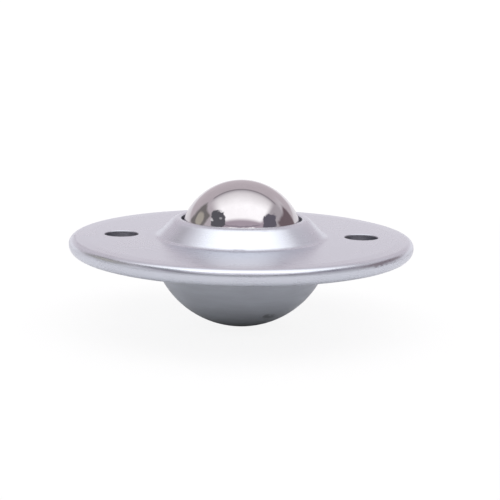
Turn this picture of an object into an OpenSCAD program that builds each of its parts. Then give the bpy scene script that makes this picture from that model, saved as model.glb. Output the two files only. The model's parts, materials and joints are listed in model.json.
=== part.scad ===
// Ball transfer unit, pressed flange type: a load ball turns on small bearing balls inside a
// hardened race. Origin: middle of the two screw holes, on the flange's underside.
// +X runs through the screw holes, +Z points up out of the ball opening. Millimetres.

/* [Load ball] */
// Diameter of the load ball
ball_d = 25.4; // [22:0.1:32]
// Height of the load ball's centre above the flange's underside
ball_centre_h = 2.3; // [1.8:0.1:3.2]

/* [Bearing balls] */
// Diameter of one bearing ball
bearing_ball_d = 3.175; // [2.5:0.025:3.5]
// Running clearance on each side of a bearing ball
run_gap = 0.04; // [0.02:0.01:0.1]
// Free space between neighbouring bearing balls
ball_spacing_gap = 0.05; // [0.02:0.01:0.1]

/* [Ball race] */
// Sheet thickness of the ball race
race_t = 0.75; // [0.5:0.05:1.2]
// Bend radius under the lip of the ball race
race_bend_r = 0.4; // [0.3:0.05:0.8]
// Radial clearance between the race's lip and the bottom shell
race_lip_gap = 0.12; // [0.05:0.01:0.3]
// Clearance between the race's lip and the cover above it
race_top_gap = 0.05; // [0.02:0.01:0.2]

/* [Bottom shell] */
// Sheet thickness of the bottom shell
shell_t = 0.75; // [0.5:0.05:1.2]
// Clearance under the race at the bottom of the shell
nest_gap = 0.03; // [0.02:0.01:0.2]
// Height of the dome's centre above the load ball's centre
dome_rise = 1.1; // [0.6:0.1:1.8]
// Bend radius under the flange of the bottom shell
shell_bend_r = 0.8; // [0.5:0.05:1.5]

/* [Top cover] */
// Sheet thickness of the top cover
cover_t = 1.35; // [1:0.05:1.6]
// Outer diameter of the flange over its rolled rim
flange_d = 70.5; // [70:0.1:80]
// Radius of the rim's upper corner
rim_top_r = 1.4; // [0.5:0.05:1.6]
// Radius of the rim's lower corner
rim_bottom_r = 2.0; // [1:0.05:2.3]
// Width of the ring inside the rim where the flange's top falls away outward
shoulder_w = 3.5; // [2:0.1:6]
// Angle at which that ring falls
shoulder_angle = 2; // [0.5:0.5:4]
// Width of the rim's folded edge under the flange
hem_w = 5.75; // [4.5:0.05:6.5]
// Extra thickness of the rim's outer wall over the sheet
rim_bulge = 0.2; // [0.1:0.01:0.5]
// Clearance on each face of the shell flange inside the fold
fold_gap = 0.025; // [0.01:0.005:0.1]
// Radial clearance round the shell flange inside the fold
fold_side_gap = 0.15; // [0.05:0.01:0.4]

/* [Collar] */
// Distance from the ball opening out to the centre of the collar's crest
crest_setback = 0.56; // [0.4:0.01:0.9]
// Angle of the collar's slope above the flange
collar_angle = 45.5; // [40:0.5:50]
// Height of the collar's crest above the load ball's centre
crest_rise = 4.97; // [4.8:0.01:5.3]
// Outer radius of the collar's rounded crest
crest_r = 2.0; // [1.8:0.05:2.4]
// Radius of the concave bend at the collar's foot
foot_r = 1.2; // [0.5:0.05:2]
// Radial amount by which the ball opening is narrower than the load ball
opening_bite = 0.3; // [0.15:0.01:0.4]
// Rounding of the opening's upper edge
lip_edge_r = 0.25; // [0.1:0.05:0.4]

/* [Screw holes] */
// Diameter of the two screw holes
hole_d = 6.8; // [4:0.1:7]
// Distance between the two screw holes
hole_spacing = 49.3; // [48:0.1:50]
// Broken edge round each screw hole on the cover
hole_chamfer = 0.2; // [0.05:0.05:0.3]

/* [Hidden] */
$fn = 96;
rim_wall_min = 0.05;                               // straight wall between the rim's two corners
ball_r = ball_d / 2;
bearing_r = bearing_ball_d / 2;
ball_c = [0, ball_centre_h];                       // load ball's centre in the (r, z) section

// Sheet stack: cover, shell flange and the cover's folded edge
pocket_h = shell_t + 2 * fold_gap;
flange_top = 2 * cover_t + pocket_h;
flange_under = flange_top - cover_t;
shell_flange_z = cover_t + fold_gap;
flange_r = flange_d / 2;
pocket_r = flange_r - cover_t - rim_bulge;         // the space inside the fold
shell_flange_r = pocket_r - fold_side_gap;
hem_in_r = flange_r - hem_w;

// Rim section: the shoulder's slope line is tangent to the upper corner's arc
shoulder_n = [sin(shoulder_angle), cos(shoulder_angle)];  // outward normal of the shoulder
shoulder_in = [flange_r - shoulder_w, flange_top];
rim_top_x = flange_r - rim_top_r;
rim_top_c = [rim_top_x, (shoulder_n * shoulder_in - rim_top_r - shoulder_n[0] * rim_top_x)
                        / shoulder_n[1]];
rim_low_r = min(rim_bottom_r, rim_top_c[1] - rim_wall_min);

// Nested bowls: each radius follows from the ball, the bearing balls and the clearances
race_in_r = ball_r + bearing_ball_d + 2 * run_gap;
race_out_r = race_in_r + race_t;
dome_c = [0, ball_centre_h + dome_rise];
dome_out_r = race_out_r + nest_gap + shell_t + dome_rise;
race_lip_z = flange_under - race_top_gap - race_t;
race_lip_r = bend_centre(dome_c, dome_out_r, shell_bend_r, shell_flange_z)[0]
             - shell_bend_r - shell_t - race_lip_gap;

// Collar section: slope line, crest arc and foot arc, all tangent
opening_r = ball_r - opening_bite;
slope_n = [sin(collar_angle), cos(collar_angle)];  // outward normal of the slope
crest_c = [opening_r + crest_setback, ball_centre_h + crest_rise - crest_r];
slope_p = slope_n * crest_c + crest_r;             // the slope's distance from the origin
foot_z = flange_top + foot_r;
foot_c = [(slope_p + foot_r - slope_n[1] * foot_z) / slope_n[0], foot_z];
lip_dx = crest_setback - lip_edge_r;
lip_c = [opening_r + lip_edge_r,
         crest_c[1] + sqrt(pow(crest_r - lip_edge_r, 2) - lip_dx * lip_dx)];

// Bearing ball rows: row 0 is the single ball at the bottom
ball_path_r = ball_r + run_gap + bearing_r;
row_step = asin((bearing_ball_d + 2 * ball_spacing_gap) / ball_path_r);
single_rows = [1, 6, 12, 17];                      // rows whose balls are separate nodes
function row_r(k) = ball_path_r * sin(k * row_step);
function row_z(k) = ball_centre_h - ball_path_r * cos(k * row_step);
function row_fill(k) = floor(180 / asin((bearing_ball_d + ball_spacing_gap) / 2 / row_r(k)));
function row_turn(k) = k * 7;                      // each row is turned a little from the last

// Round sections overlap their tangent lines by this much, so that each bend is one clean arc
tangent_bite = 0.0002;

// Disc in the section plane, a hair oversize so that it crosses the lines it is tangent to
module bend_disc(c, r) {
    translate(c) circle(r = r + tangent_bite);
}

// Kite that fills the corner outside a bend: c is the bend's centre, u and v reach past the arc
module bend_corner(c, u, v) {
    polygon([c, c + u, c + (u + v) / (1 + u * v / (u * u)), c + v]);
}

function toward(a, b, d) = a + (b - a) * d / norm(b - a);

// Centre of the bend between a bowl's outer sphere and the underside of its flange
function bend_centre(c, r_out, bend_r, flange_z) =
    [sqrt(pow(r_out + bend_r, 2) - pow(c[1] - flange_z + bend_r, 2)), flange_z - bend_r];

// Section of a pressed bowl with a flat flange: sphere wall, tangent bend, flange
module bowl_section(c, r_out, t, bend_r, flange_z, flange_out_r) {
    bend_c = bend_centre(c, r_out, bend_r, flange_z);
    difference() {
        union() {
            intersection() {
                translate(c) circle(r = r_out);
                translate([0, c[1] - r_out - 1])
                    square([r_out + 1, flange_z + t / 2 - c[1] + r_out + 1]);
            }
            translate([r_out / 2, flange_z]) square([flange_out_r - r_out / 2, t]);
            bend_corner(bend_c, [0, bend_r + t / 2], toward(bend_c, c, bend_r + t / 2) - bend_c);
        }
        bend_disc(bend_c, bend_r);
        difference() {
            union() {
                translate(c) circle(r = r_out - t);
                bend_corner(bend_c, [0, bend_r + 2 * t],
                            toward(bend_c, c, bend_r + 2 * t) - bend_c);
            }
            bend_disc(bend_c, bend_r + t);
        }
    }
}

// The two screw holes
module screw_holes(z0, z1) {
    for (s = [-1, 1]) translate([s * hole_spacing / 2, 0, z0])
        cylinder(d = hole_d, h = z1 - z0);
}

// Section of the cover's outer faces: rolled rim, shoulder, flange top, collar slope and crest
module cover_outer_section() {
    difference() {
        union() {
            polygon([[0, 0], [flange_r - rim_low_r, 0], [flange_r, rim_low_r],
                     [flange_r, rim_top_c[1]], rim_top_c + rim_top_r * shoulder_n, shoulder_in,
                     [foot_c[0], flange_top], foot_c, foot_c - foot_r * slope_n,
                     crest_c + crest_r * slope_n, crest_c, [0, crest_c[1]]]);
            intersection() {
                bend_disc([flange_r - rim_low_r, rim_low_r], rim_low_r);
                translate([0, -1]) square([flange_r + 1, rim_top_c[1] + 1]);
            }
            bend_disc(rim_top_c, rim_top_r);
            bend_disc(crest_c, crest_r);
        }
        bend_disc(foot_c, foot_r);
    }
}

// Section of the space under the cover's sheet, down to the fold
module cover_inner_section() {
    difference() {
        union() {
            polygon([[0, -1], [hem_in_r, -1], [hem_in_r, cover_t],
                     [pocket_r, cover_t], [pocket_r, flange_under],
                     [foot_c[0], flange_under], foot_c, foot_c - (foot_r + cover_t) * slope_n,
                     crest_c + (crest_r - cover_t) * slope_n, crest_c, [0, crest_c[1]]]);
            bend_disc(crest_c, crest_r - cover_t);
        }
        bend_disc(foot_c, foot_r + cover_t);
    }
}

// Section of the whole top cover
module cover_section() {
    past_lip = toward(crest_c, lip_c, 2 * crest_r);
    difference() {
        cover_outer_section();
        cover_inner_section();
        translate([0, -1]) square([opening_r, crest_c[1] + crest_r + 2]);
        polygon([[0, lip_c[1]], lip_c, past_lip, [0, past_lip[1]]]);
    }
    bend_disc(lip_c, lip_edge_r + tangent_bite);
}

module top_cover() {
    color("Gainsboro") difference() {
        rotate_extrude() cover_section();
        screw_holes(-1, flange_top + 1);
        for (s = [-1, 1]) translate([s * hole_spacing / 2, 0, flange_top - hole_chamfer])
            cylinder(d1 = hole_d, d2 = hole_d + 4 * hole_chamfer, h = 2 * hole_chamfer);
    }
}

module bottom_shell() {
    color("Silver") difference() {
        rotate_extrude()
            bowl_section(dome_c, dome_out_r, shell_t, shell_bend_r, shell_flange_z,
                         shell_flange_r);
        screw_holes(shell_flange_z - 1, shell_flange_z + shell_t + 1);
    }
}

module ball_race() {
    color("DimGray") rotate_extrude()
        bowl_section(ball_c, race_out_r, race_t, race_bend_r, race_lip_z, race_lip_r);
}

module load_ball() {
    color("WhiteSmoke") translate([0, 0, ball_centre_h]) sphere(d = ball_d);
}

// Ball i (from 0) of row k, with n balls in that row
module bearing_ball(k, i, n) {
    color("LightSteelBlue")
        rotate([0, 0, row_turn(k) + 360 * i / n]) translate([row_r(k), 0, row_z(k)])
            sphere(d = bearing_ball_d, $fn = 48);
}

// A full row of bearing balls
module bearing_ball_row(k) {
    n = row_fill(k);
    for (i = [0:n - 1]) bearing_ball(k, i, n);
}

top_cover();
bottom_shell();
ball_race();
load_ball();
for (k = [0:len(single_rows) - 1]) for (i = [0:single_rows[k] - 1])
    bearing_ball(k, i, single_rows[k]);
for (k = [4:6])
    bearing_ball_row(k);
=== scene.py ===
"""Studio view of the ball transfer unit: materials, light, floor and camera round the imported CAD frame.

Every length is in metres, in the CAD frame: the origin lies between the two screw holes on the flange's
underside, +X runs through the holes and +Z points up out of the ball opening.
"""

import json
import math

import bmesh
import bpy
from mathutils import Matrix, Vector


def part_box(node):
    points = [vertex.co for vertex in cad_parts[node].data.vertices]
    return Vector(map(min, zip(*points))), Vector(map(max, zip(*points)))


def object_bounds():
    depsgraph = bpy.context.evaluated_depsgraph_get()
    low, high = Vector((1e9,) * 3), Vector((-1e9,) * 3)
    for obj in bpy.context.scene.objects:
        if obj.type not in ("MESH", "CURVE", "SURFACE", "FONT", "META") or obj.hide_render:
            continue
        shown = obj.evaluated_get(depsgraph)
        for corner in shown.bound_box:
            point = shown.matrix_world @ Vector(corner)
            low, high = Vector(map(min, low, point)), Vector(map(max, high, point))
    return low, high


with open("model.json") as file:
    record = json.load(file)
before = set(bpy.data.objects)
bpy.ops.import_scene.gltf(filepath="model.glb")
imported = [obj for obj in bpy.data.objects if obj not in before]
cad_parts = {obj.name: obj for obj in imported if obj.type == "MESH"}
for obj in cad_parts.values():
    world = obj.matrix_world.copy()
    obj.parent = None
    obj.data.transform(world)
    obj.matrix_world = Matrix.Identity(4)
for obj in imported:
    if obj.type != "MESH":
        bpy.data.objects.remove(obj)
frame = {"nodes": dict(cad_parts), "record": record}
cad_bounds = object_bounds()

MM = 0.001

# Places on the part, taken from the frame
ball_lo, ball_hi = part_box("load_ball")
BALL_C = (ball_lo + ball_hi) / 2
FLOOR_Z = cad_bounds[0].z - 0.02 * MM

# Screw holes of the cover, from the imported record; their straight walls start at HOLE_WALL_Z
holes = next(mount for mount in frame["record"]["mounts"] if mount["name"] == "screw_holes")
HOLE_X = holes["dims"]["spacing_x_mm"] / 2 * MM
HOLE_R = holes["dims"]["hole_r_mm"] * MM
HOLE_WALL_Z = holes["pos_m"][2]

# Smudge low on the dome's front: its middle and its half width and height
SMUDGE_X = 5.6 * MM
SMUDGE_Z = -11.1 * MM
SMUDGE_W = 2.0 * MM
SMUDGE_H = 0.9 * MM

# From the ball toward the front view, a little above the horizon
VIEW_ELEVATION = math.radians(10.45)
FRONT_VIEW = (0.0, -math.cos(VIEW_ELEVATION), math.sin(VIEW_ELEVATION))


# ---------------------------------------------------------------- node helpers

class Graph:
    """A node tree with short calls for the nodes that the materials use."""

    def __init__(self, tree):
        self.tree = tree
        tree.nodes.clear()

    def node(self, kind, **settings):
        """A new node with the given settings."""
        made = self.tree.nodes.new(kind)
        for name, value in settings.items():
            setattr(made, name, value)
        return made

    def feed(self, socket, value):
        """Joins an output to a socket, or sets the socket to a number or a colour."""
        if isinstance(value, bpy.types.NodeSocket):
            self.tree.links.new(value, socket)
        elif isinstance(value, tuple) and len(value) == 3 and socket.type == "RGBA":
            socket.default_value = (*value, 1.0)
        else:
            socket.default_value = value

    def math(self, operation, *values):
        """One of Blender's math operations on numbers."""
        made = self.node("ShaderNodeMath", operation=operation)
        for socket, value in zip(made.inputs, values):
            self.feed(socket, value)
        return made.outputs[0]

    def times(self, first, *others):
        """Product of several values."""
        for value in others:
            first = self.math("MULTIPLY", first, value)
        return first

    def split(self, vector):
        """The x, y and z of a vector."""
        made = self.node("ShaderNodeSeparateXYZ")
        self.feed(made.inputs[0], vector)
        return made.outputs

    def vector(self, operation, *values):
        """One of Blender's math operations on vectors; LENGTH gives a number."""
        made = self.node("ShaderNodeVectorMath", operation=operation)
        for socket, value in zip(made.inputs, values):
            self.feed(socket, value)
        return made.outputs["Value" if operation == "LENGTH" else "Vector"]

    def step(self, value, low, high, out_low=0.0, out_high=1.0):
        """Smooth step of a value from low to high."""
        made = self.node("ShaderNodeMapRange", interpolation_type="SMOOTHSTEP")
        for name, given in (("Value", value), ("From Min", low), ("From Max", high),
                            ("To Min", out_low), ("To Max", out_high)):
            self.feed(made.inputs[name], given)
        return made.outputs["Result"]

    def noise(self, vector, scale, detail, roughness):
        """Noise from 0 to 1, with scale in features per metre."""
        made = self.node("ShaderNodeTexNoise")
        self.feed(made.inputs["Vector"], vector)
        self.feed(made.inputs["Scale"], scale)
        self.feed(made.inputs["Detail"], detail)
        self.feed(made.inputs["Roughness"], roughness)
        return made.outputs["Fac"]

    def mix(self, factor, first, second):
        """Mix of two colours, all second where the factor is 1."""
        made = self.node("ShaderNodeMix", data_type="RGBA")
        self.feed(made.inputs[0], factor)
        self.feed(made.inputs[6], first)
        self.feed(made.inputs[7], second)
        return made.outputs[2]

    def bump(self, height, distance):
        """Normal bent by a height from 0 to 1 that stands for a distance in metres."""
        made = self.node("ShaderNodeBump")
        self.feed(made.inputs["Height"], height)
        made.inputs["Distance"].default_value = distance
        made.inputs["Strength"].default_value = 1.0
        return made.outputs["Normal"]

    def place(self):
        """Position on the part in metres: as a vector, as x, y and z, and as distance from the axis."""
        coords = self.node("ShaderNodeTexCoord").outputs["Object"]
        x, y, z = self.split(coords)
        r = self.math("SQRT", self.math("ADD", self.times(x, x), self.times(y, y)))
        return coords, x, y, z, r

    def join(self, x, y, z):
        """A vector from its x, y and z."""
        made = self.node("ShaderNodeCombineXYZ")
        for socket, value in zip(made.inputs, (x, y, z)):
            self.feed(socket, value)
        return made.outputs[0]


def new_material(name):
    """A material and the graph of its emptied node tree."""
    material = bpy.data.materials.new(name)
    material.use_nodes = True
    return material, Graph(material.node_tree)


def finish_metal(g, color, roughness, normal):
    """A metallic Principled shader with the given maps."""
    shader = g.node("ShaderNodeBsdfPrincipled")
    g.feed(shader.inputs["Base Color"], color)
    g.feed(shader.inputs["Roughness"], roughness)
    g.feed(shader.inputs["Normal"], normal)
    shader.inputs["Metallic"].default_value = 1.0
    out = g.node("ShaderNodeOutputMaterial")
    g.feed(out.inputs["Surface"], shader.outputs[0])


# ---------------------------------------------------------------- materials

# Scales of the surface detail, in features per metre
DRAWN_RINGS = 2600.0
TURNED_RINGS = 9000.0
PLATING_GRAIN = 5200.0
SMUDGE_SPOTS = 1100.0


def rings(g, r, z, scale):
    """Noise that is the same all round the axis, as drawing and turning leave it."""
    return g.noise(g.join(g.times(r, scale), 0.0, g.times(z, scale)), 1.0, 3.0, 0.7)


def zinc(name, light, dark, rough_low, rough_high, clouds, drawn):
    """Satin zinc plating on pressed sheet: cloudy tone, fine grain and faint drawing rings.

    clouds is the scale of the cloudy tone; drawn below 1 stretches it round the axis.
    """
    material, g = new_material(name)
    coords, x, y, z, r = g.place()
    cloud = g.noise(g.vector("MULTIPLY", coords, (drawn, drawn, 1.0)), clouds, 4.0, 0.6)
    grain = g.noise(coords, PLATING_GRAIN, 2.0, 0.6)
    ring = rings(g, r, z, DRAWN_RINGS)
    tone = g.math("ADD", g.times(g.step(cloud, 0.3, 0.7), 0.85), g.times(grain, 0.15))
    color = g.mix(tone, dark, light)
    rough_mix = g.math("ADD", g.times(cloud, 0.5), g.times(ring, 0.5))
    roughness = g.step(rough_mix, 0.25, 0.75, rough_low, rough_high)
    height = g.math("ADD", g.times(grain, 0.6), g.times(ring, 0.4))
    # Walls of the screw holes below the chamfer: painted shade darkens them, and the punched cut edge
    # makes them rougher
    from_hole = g.vector("LENGTH", g.join(g.math("SUBTRACT", g.math("ABSOLUTE", x), HOLE_X), y, 0.0))
    shaded_punched_wall = g.times(g.step(from_hole, HOLE_R + 0.25 * MM, HOLE_R + 0.1 * MM),
                      g.step(z, HOLE_WALL_Z + 0.17 * MM, HOLE_WALL_Z + 0.09 * MM))
    color = g.mix(shaded_punched_wall, color, (0.25, 0.25, 0.28))
    roughness = g.math("ADD", roughness, g.times(shaded_punched_wall, 0.2))
    # Handling smudge low on the dome's front, broken up by noise
    across = g.math("DIVIDE", g.math("SUBTRACT", x, SMUDGE_X), SMUDGE_W)
    along = g.math("DIVIDE", g.math("SUBTRACT", z, SMUDGE_Z), SMUDGE_H)
    not_in_front = g.step(y, 0.0, 1 * MM, 0.0, 2.0)
    smudge = g.vector("LENGTH", g.join(across, not_in_front, along))
    spots = g.noise(coords, SMUDGE_SPOTS, 2.0, 0.6)
    marked = g.times(g.step(smudge, 1.1, 0.3), g.step(spots, 0.36, 0.56))
    color = g.mix(g.times(marked, 0.7), color, (0.16, 0.17, 0.18))
    finish_metal(g, color, roughness, g.bump(height, 0.00000035))
    return material


def chrome(name, light, dark, rough_low, rough_high, grain_scale):
    """Polished bearing steel: near mirror, with a haze of fine handling marks in its roughness."""
    material, g = new_material(name)
    coords = g.place()[0]
    haze = g.noise(coords, grain_scale, 5.0, 0.65)
    fine = g.noise(coords, grain_scale * 14, 2.0, 0.5)
    color = g.mix(g.step(haze, 0.35, 0.7), dark, light)
    roughness = g.step(haze, 0.3, 0.75, rough_low, rough_high)
    finish_metal(g, color, roughness, g.bump(fine, 0.0000005))
    return material


def race_steel(name):
    """Hardened race: steel with concentric polish from the turning tool and the running balls."""
    material, g = new_material(name)
    coords, x, y, z, r = g.place()
    ring = rings(g, r, z, TURNED_RINGS)
    cloud = g.noise(coords, 220.0, 3.0, 0.6)
    color = g.mix(cloud, (0.34, 0.34, 0.36), (0.52, 0.52, 0.54))
    roughness = g.step(ring, 0.2, 0.8, 0.22, 0.42)
    finish_metal(g, color, roughness, g.bump(ring, 0.000003))
    return material


COVER = zinc("satin_zinc_cover", (0.665, 0.695, 0.749), (0.635, 0.66, 0.714), 0.25, 0.32, 140.0, 1.0)
SHELL = zinc("satin_zinc_shell", (0.60, 0.632, 0.667), (0.53, 0.553, 0.587), 0.28, 0.40, 620.0, 0.16)
LOAD_BALL = chrome("chrome_load_ball", (0.583, 0.562, 0.571), (0.549, 0.528, 0.537), 0.02, 0.05, 260.0)
BEARING = chrome("chrome_bearing_ball", (0.62, 0.62, 0.63), (0.56, 0.56, 0.57), 0.05, 0.12, 900.0)
RACE = race_steel("brushed_race_steel")

FINISH = {"top_cover": COVER, "bottom_shell": SHELL, "ball_race": RACE, "load_ball": LOAD_BALL}
for name, cad_node in frame["nodes"].items():
    for material_slot in cad_node.material_slots:
        material_slot.material = FINISH.get(name, BEARING)


# ---------------------------------------------------------------- stage: floor and studio tent

FLOOR_TONE = (0.78, 0.78, 0.79)        # as it lights the object
FLOOR_PAINTED_SHADOW = (0.045, 0.045, 0.045)    # painted contact shadow: the floor as the object sees it, right under the dome
FLOOR_SEEN = (0.138, 0.138, 0.138)     # part of the white seen by the camera that takes the shadow
FLOOR_GLOW = 0.885                     # rest of that white, near the object
FLOOR_IN_METAL = 0.165                 # added where metal shows the floor, faded out under the dome as painted shadow
FLOOR_HALF = 30.0


def floor_material():
    """Pale floor that keeps the object's shadow and shows as white to the camera, with a painted contact
    shadow under the dome where the object sees the floor.
    """
    material, g = new_material("pale_floor")
    r = g.place()[4]
    rays = g.node("ShaderNodeLightPath")
    to_camera = rays.outputs["Is Camera Ray"]
    to_metal = g.math("MAXIMUM", rays.outputs["Is Glossy Ray"], rays.outputs["Is Transmission Ray"])
    diffuse = g.node("ShaderNodeBsdfDiffuse")
    # Painted contact shadow: right under the dome, the floor that the object sees is near black
    painted_shadow = g.step(r, 0.0, 18 * MM)
    g.feed(diffuse.inputs["Color"], g.mix(to_camera, g.mix(painted_shadow, FLOOR_PAINTED_SHADOW, FLOOR_TONE), FLOOR_SEEN))
    # Painted shadow in metal: the floor's glow fades out toward the dome
    painted_shadow_in_metal = g.step(r, 0.0, 20 * MM)
    white = g.step(r, 100 * MM, 300 * MM, FLOOR_GLOW, 1.0)
    glow = g.node("ShaderNodeEmission")
    glow.inputs["Color"].default_value = (1.0, 1.0, 1.0, 1.0)
    g.feed(glow.inputs["Strength"], g.math("ADD", g.times(to_camera, white),
                                           g.times(to_metal, g.times(painted_shadow_in_metal, FLOOR_IN_METAL))))
    both = g.node("ShaderNodeAddShader")
    g.feed(both.inputs[0], diffuse.outputs[0])
    g.feed(both.inputs[1], glow.outputs[0])
    out = g.node("ShaderNodeOutputMaterial")
    g.feed(out.inputs["Surface"], both.outputs[0])
    return material


floor_mesh = bpy.data.meshes.new("floor")
floor_mesh.from_pydata([(-FLOOR_HALF, -FLOOR_HALF, FLOOR_Z), (FLOOR_HALF, -FLOOR_HALF, FLOOR_Z),
                        (FLOOR_HALF, FLOOR_HALF, FLOOR_Z), (-FLOOR_HALF, FLOOR_HALF, FLOOR_Z)],
                       [], [(0, 1, 2, 3)])
floor_mesh.materials.append(floor_material())
floor = bpy.data.objects.new("floor", floor_mesh)
bpy.context.scene.collection.objects.link(floor)


# Tones of the tent, before its strength
WALL_LEFT = (0.65, 0.60, 0.64)
WALL_RIGHT = (0.55, 0.515, 0.55)
WALL_BEHIND = (0.64, 0.58, 0.62)
WALL_AHEAD = (0.55, 0.475, 0.545)
CEILING_RIGHT = (0.70, 0.66, 0.70)
BOX_FRONT = (1.50, 1.50, 1.52)
BOX_MIDDLE = (0.96, 0.93, 0.96)
BOX_BACK = (0.52, 0.49, 0.53)
BOX_SEAM = (0.36, 0.33, 0.36)
FRONT_SEAM = (0.34, 0.31, 0.36)
HORIZON_BEHIND = (0.87, 0.85, 0.89)
HORIZON = (0.50, 0.49, 0.51)
FRONT_SKIRT = (0.12, 0.12, 0.13)
FRONT_STRIP = (1.60, 1.58, 1.61)
LEFT_SHEET = (0.72, 0.71, 0.73)
OLIVE_CLOTH = (0.25, 0.235, 0.235)
CLOTH_FOLD = (0.54, 0.51, 0.45)
PLUM_CLOTH = (0.22, 0.17, 0.19)
LEFT_STAND = (0.14, 0.14, 0.16)
RIGHT_STAND = (0.17, 0.16, 0.20)
STAND_GLINT = (0.50, 0.50, 0.52)
STAND_LAMP = (0.85, 0.86, 0.88)
TENT_STRENGTH = 1.162
TENT_R = 0.8


class Tent:
    """Lights of the studio tent, laid over each other by direction as seen from the load ball.

    azimuth is 0 toward the front and positive to the right, elevation is above the horizon, both in
    degrees. side and back are slopes, right and backward over up. right and rise are the place on the
    ball, in ball radii, where a direction is reflected toward the front.
    """

    def __init__(self, g):
        self.g = g
        coords = g.place()[0]
        way = g.vector("NORMALIZE", g.vector("SUBTRACT", coords, tuple(BALL_C)))
        x, y, z = g.split(way)
        up = g.math("MAXIMUM", z, 0.05)
        self.side = g.math("DIVIDE", x, up)
        self.back = g.math("DIVIDE", y, up)
        self.right, forth, high = g.split(g.vector("NORMALIZE", g.vector("ADD", way, FRONT_VIEW)))
        self.rise = g.math("ADD", g.times(forth, FRONT_VIEW[2]), g.times(high, -FRONT_VIEW[1]))
        self.wobble = g.math("SUBTRACT", g.noise(way, 7.0, 3.0, 0.6), 0.5)
        self.azimuth = g.math("ADD", g.math("DEGREES", g.math("ARCTAN2", x, g.times(y, -1.0))),
                              g.times(self.wobble, 10.0))
        self.elevation = g.math("ADD", g.math("DEGREES", g.math("ARCSINE", z)),
                                g.times(self.wobble, 4.0))
        self.color = g.mix(g.step(self.azimuth, -30.0, 30.0), WALL_LEFT, WALL_RIGHT)

    def ramp(self, value, low, high, first, last):
        """Straight change from one tone to another as a value runs from low to high."""
        made = self.g.node("ShaderNodeMapRange", interpolation_type="LINEAR")
        for name, given in (("Value", value), ("From Min", low), ("From Max", high)):
            self.g.feed(made.inputs[name], given)
        return self.g.mix(made.outputs["Result"], first, last)

    def lay(self, cover, tone):
        """Lays a tone over what is there, where cover is 1."""
        self.color = self.g.mix(cover, self.color, tone)

    def span(self, value, low, high, soft):
        """1 where a value lies from low to high, with soft edges."""
        g = self.g
        return g.times(g.step(value, low - soft, low + soft), g.step(value, high + soft, high - soft))

    def window(self, az_low, az_high, el_low, el_high, soft_az, soft_el):
        """1 inside a range of azimuth and of elevation."""
        return self.g.times(self.span(self.azimuth, az_low, az_high, soft_az),
                            self.span(self.elevation, el_low, el_high, soft_el))

    def oval(self, az, el, az_r, el_r, soft):
        """1 inside an oval of azimuth and elevation."""
        g = self.g
        u = g.math("DIVIDE", g.math("SUBTRACT", self.azimuth, az), az_r)
        v = g.math("DIVIDE", g.math("SUBTRACT", self.elevation, el), el_r)
        out = g.math("SQRT", g.math("ADD", g.times(u, u), g.times(v, v)))
        return g.step(out, 1.0 + soft, 1.0 - soft)

    def block(self, right, rise, half_w, half_h, soft):
        """1 inside a block with rounded corners, upright where the ball reflects it to the front."""
        g = self.g
        fourth = []
        for place, middle, half in ((self.right, right, half_w), (self.rise, rise, half_h)):
            off = g.math("DIVIDE", g.math("SUBTRACT", place, middle), half)
            fourth.append(g.math("POWER", g.math("ABSOLUTE", off), 4.0))
        out = g.math("ADD", self.wobble, g.math("POWER", g.math("ADD", *fourth), 0.25))
        return g.step(out, 1.0 + soft, 1.0 - soft)


def tent_material():
    """Studio tent: a soft box overhead, mauve walls, dark stands at the sides and a strip in front."""
    material, g = new_material("studio_tent")
    t = Tent(g)
    turned = g.math("ABSOLUTE", t.azimuth)
    behind = g.step(turned, 124.0, 132.0)
    t.lay(behind, WALL_BEHIND)
    t.lay(g.step(turned, 60.0, 50.0), WALL_AHEAD)
    t.lay(g.times(t.span(t.side, 0.95, 1.8, 0.25), t.span(t.back, 0.72, 1.4, 0.15)), CEILING_RIGHT)
    # Soft box: brightest over the front, fading to the back
    box = g.times(g.times(g.step(t.side, -1.0, -0.55), g.step(t.side, 1.0, 0.74)),
                  g.times(g.step(t.back, -0.95, -0.68), g.step(t.back, 0.60, 0.56)))
    near = t.ramp(t.back, -0.15, 0.38, BOX_FRONT, BOX_MIDDLE)
    t.lay(box, t.ramp(t.back, 0.38, 0.58, near, BOX_BACK))
    # Seams: along the box's back edge, and low in the front wall
    t.lay(g.times(t.span(t.side, -0.74, 0.98, 0.06), t.span(t.back, 0.565, 0.655, 0.025)), BOX_SEAM)
    t.lay(t.window(-40.0, 40.0, 35.5, 37.5, 6.0, 1.0), FRONT_SEAM)
    # Horizon, and the dark skirt with the bright strip over it in front of the unit
    t.lay(g.times(behind, g.step(t.elevation, 14.0, 9.0)), HORIZON_BEHIND)
    t.lay(g.times(g.step(turned, 116.0, 100.0), g.step(t.elevation, 15.0, 12.0)), HORIZON)
    t.lay(t.window(-46.0, 46.0, 14.0, 28.0, 6.0, 1.5), FRONT_SKIRT)
    t.lay(t.window(-27.0, 27.0, 28.5, 34.0, 5.0, 1.0), FRONT_STRIP)
    t.lay(t.window(-112.0, -60.0, 5.0, 18.0, 5.0, 2.0), LEFT_SHEET)
    # Cloth and stands at the sides
    t.lay(t.window(-126.0, -84.0, 12.0, 39.5, 4.0, 2.5), OLIVE_CLOTH)
    t.lay(t.oval(-104.0, 25.0, 12.0, 8.0, 0.25), CLOTH_FOLD)
    t.lay(t.window(86.0, 131.0, 8.0, 30.0, 4.0, 2.5), PLUM_CLOTH)
    t.lay(t.block(-0.375, 0.335, 0.105, 0.135, 0.1), LEFT_STAND)
    t.lay(t.oval(-55.0, 45.0, 3.5, 2.0, 0.4), STAND_GLINT)
    t.lay(t.oval(-73.0, 36.5, 4.5, 1.8, 0.4), STAND_LAMP)
    t.lay(t.block(0.445, 0.305, 0.10, 0.13, 0.1), RIGHT_STAND)
    glow = g.node("ShaderNodeEmission")
    g.feed(glow.inputs["Color"], t.color)
    glow.inputs["Strength"].default_value = TENT_STRENGTH
    out = g.node("ShaderNodeOutputMaterial")
    g.feed(out.inputs["Surface"], glow.outputs[0])
    return material


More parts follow.
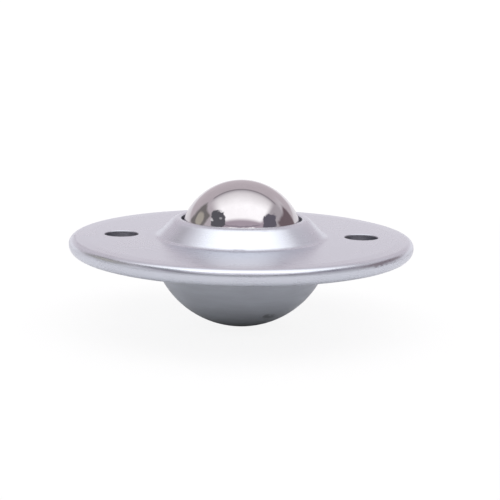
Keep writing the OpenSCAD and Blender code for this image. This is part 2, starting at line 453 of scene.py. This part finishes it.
tent_mesh = bpy.data.meshes.new("studio_tent")
shape = bmesh.new()
bmesh.ops.create_uvsphere(shape, u_segments=64, v_segments=32, radius=TENT_R,
                          matrix=Matrix.Translation(BALL_C))
shape.to_mesh(tent_mesh)
shape.free()
tent_mesh.materials.append(tent_material())
tent = bpy.data.objects.new("studio_tent", tent_mesh)
bpy.context.scene.collection.objects.link(tent)
tent.visible_camera = False


# ---------------------------------------------------------------- world

def white_world():
    """White behind everything for the camera and in reflections, and a soft grey fill elsewhere."""
    world = bpy.data.worlds.new("studio")
    bpy.context.scene.world = world
    world.use_nodes = True
    g = Graph(world.node_tree)
    rays = g.node("ShaderNodeLightPath")
    seen = g.math("MAXIMUM", rays.outputs["Is Camera Ray"],
                  g.math("MAXIMUM", rays.outputs["Is Glossy Ray"], rays.outputs["Is Transmission Ray"]))
    background = g.node("ShaderNodeBackground")
    g.feed(background.inputs["Color"], g.mix(seen, (0.5, 0.5, 0.52), (1.0, 1.0, 1.0)))
    out = g.node("ShaderNodeOutputWorld")
    g.feed(out.inputs["Surface"], background.outputs[0])


white_world()


# ---------------------------------------------------------------- camera

CAMERA_DISTANCE = 300 * MM
CAMERA_ROLL = math.radians(0.95)
AIM_RIGHT = 1.80 * MM
AIM_DOWN = 1.788 * MM


def make_camera():
    """A long lens in front of the unit and a little above it, aimed below and right of the ball."""
    camera = bpy.data.objects.new("camera", bpy.data.cameras.new("camera"))
    bpy.context.scene.collection.objects.link(camera)
    camera.data.lens = 105.0
    camera.data.sensor_width = 36.0
    camera.data.clip_start = 0.01
    camera.data.clip_end = 100.0
    right = Vector((1, 0, 0))
    up = Vector((0, math.sin(VIEW_ELEVATION), math.cos(VIEW_ELEVATION)))
    camera.location = BALL_C + Vector(FRONT_VIEW) * CAMERA_DISTANCE
    aim = BALL_C + right * AIM_RIGHT - up * AIM_DOWN
    look = (aim - camera.location).to_track_quat("-Z", "Y").to_matrix()
    camera.rotation_mode = "QUATERNION"
    camera.rotation_quaternion = (look @ Matrix.Rotation(CAMERA_ROLL, 3, "Z")).to_quaternion()
    bpy.context.scene.camera = camera


make_camera()

bpy.context.scene.view_settings.view_transform = "Standard"
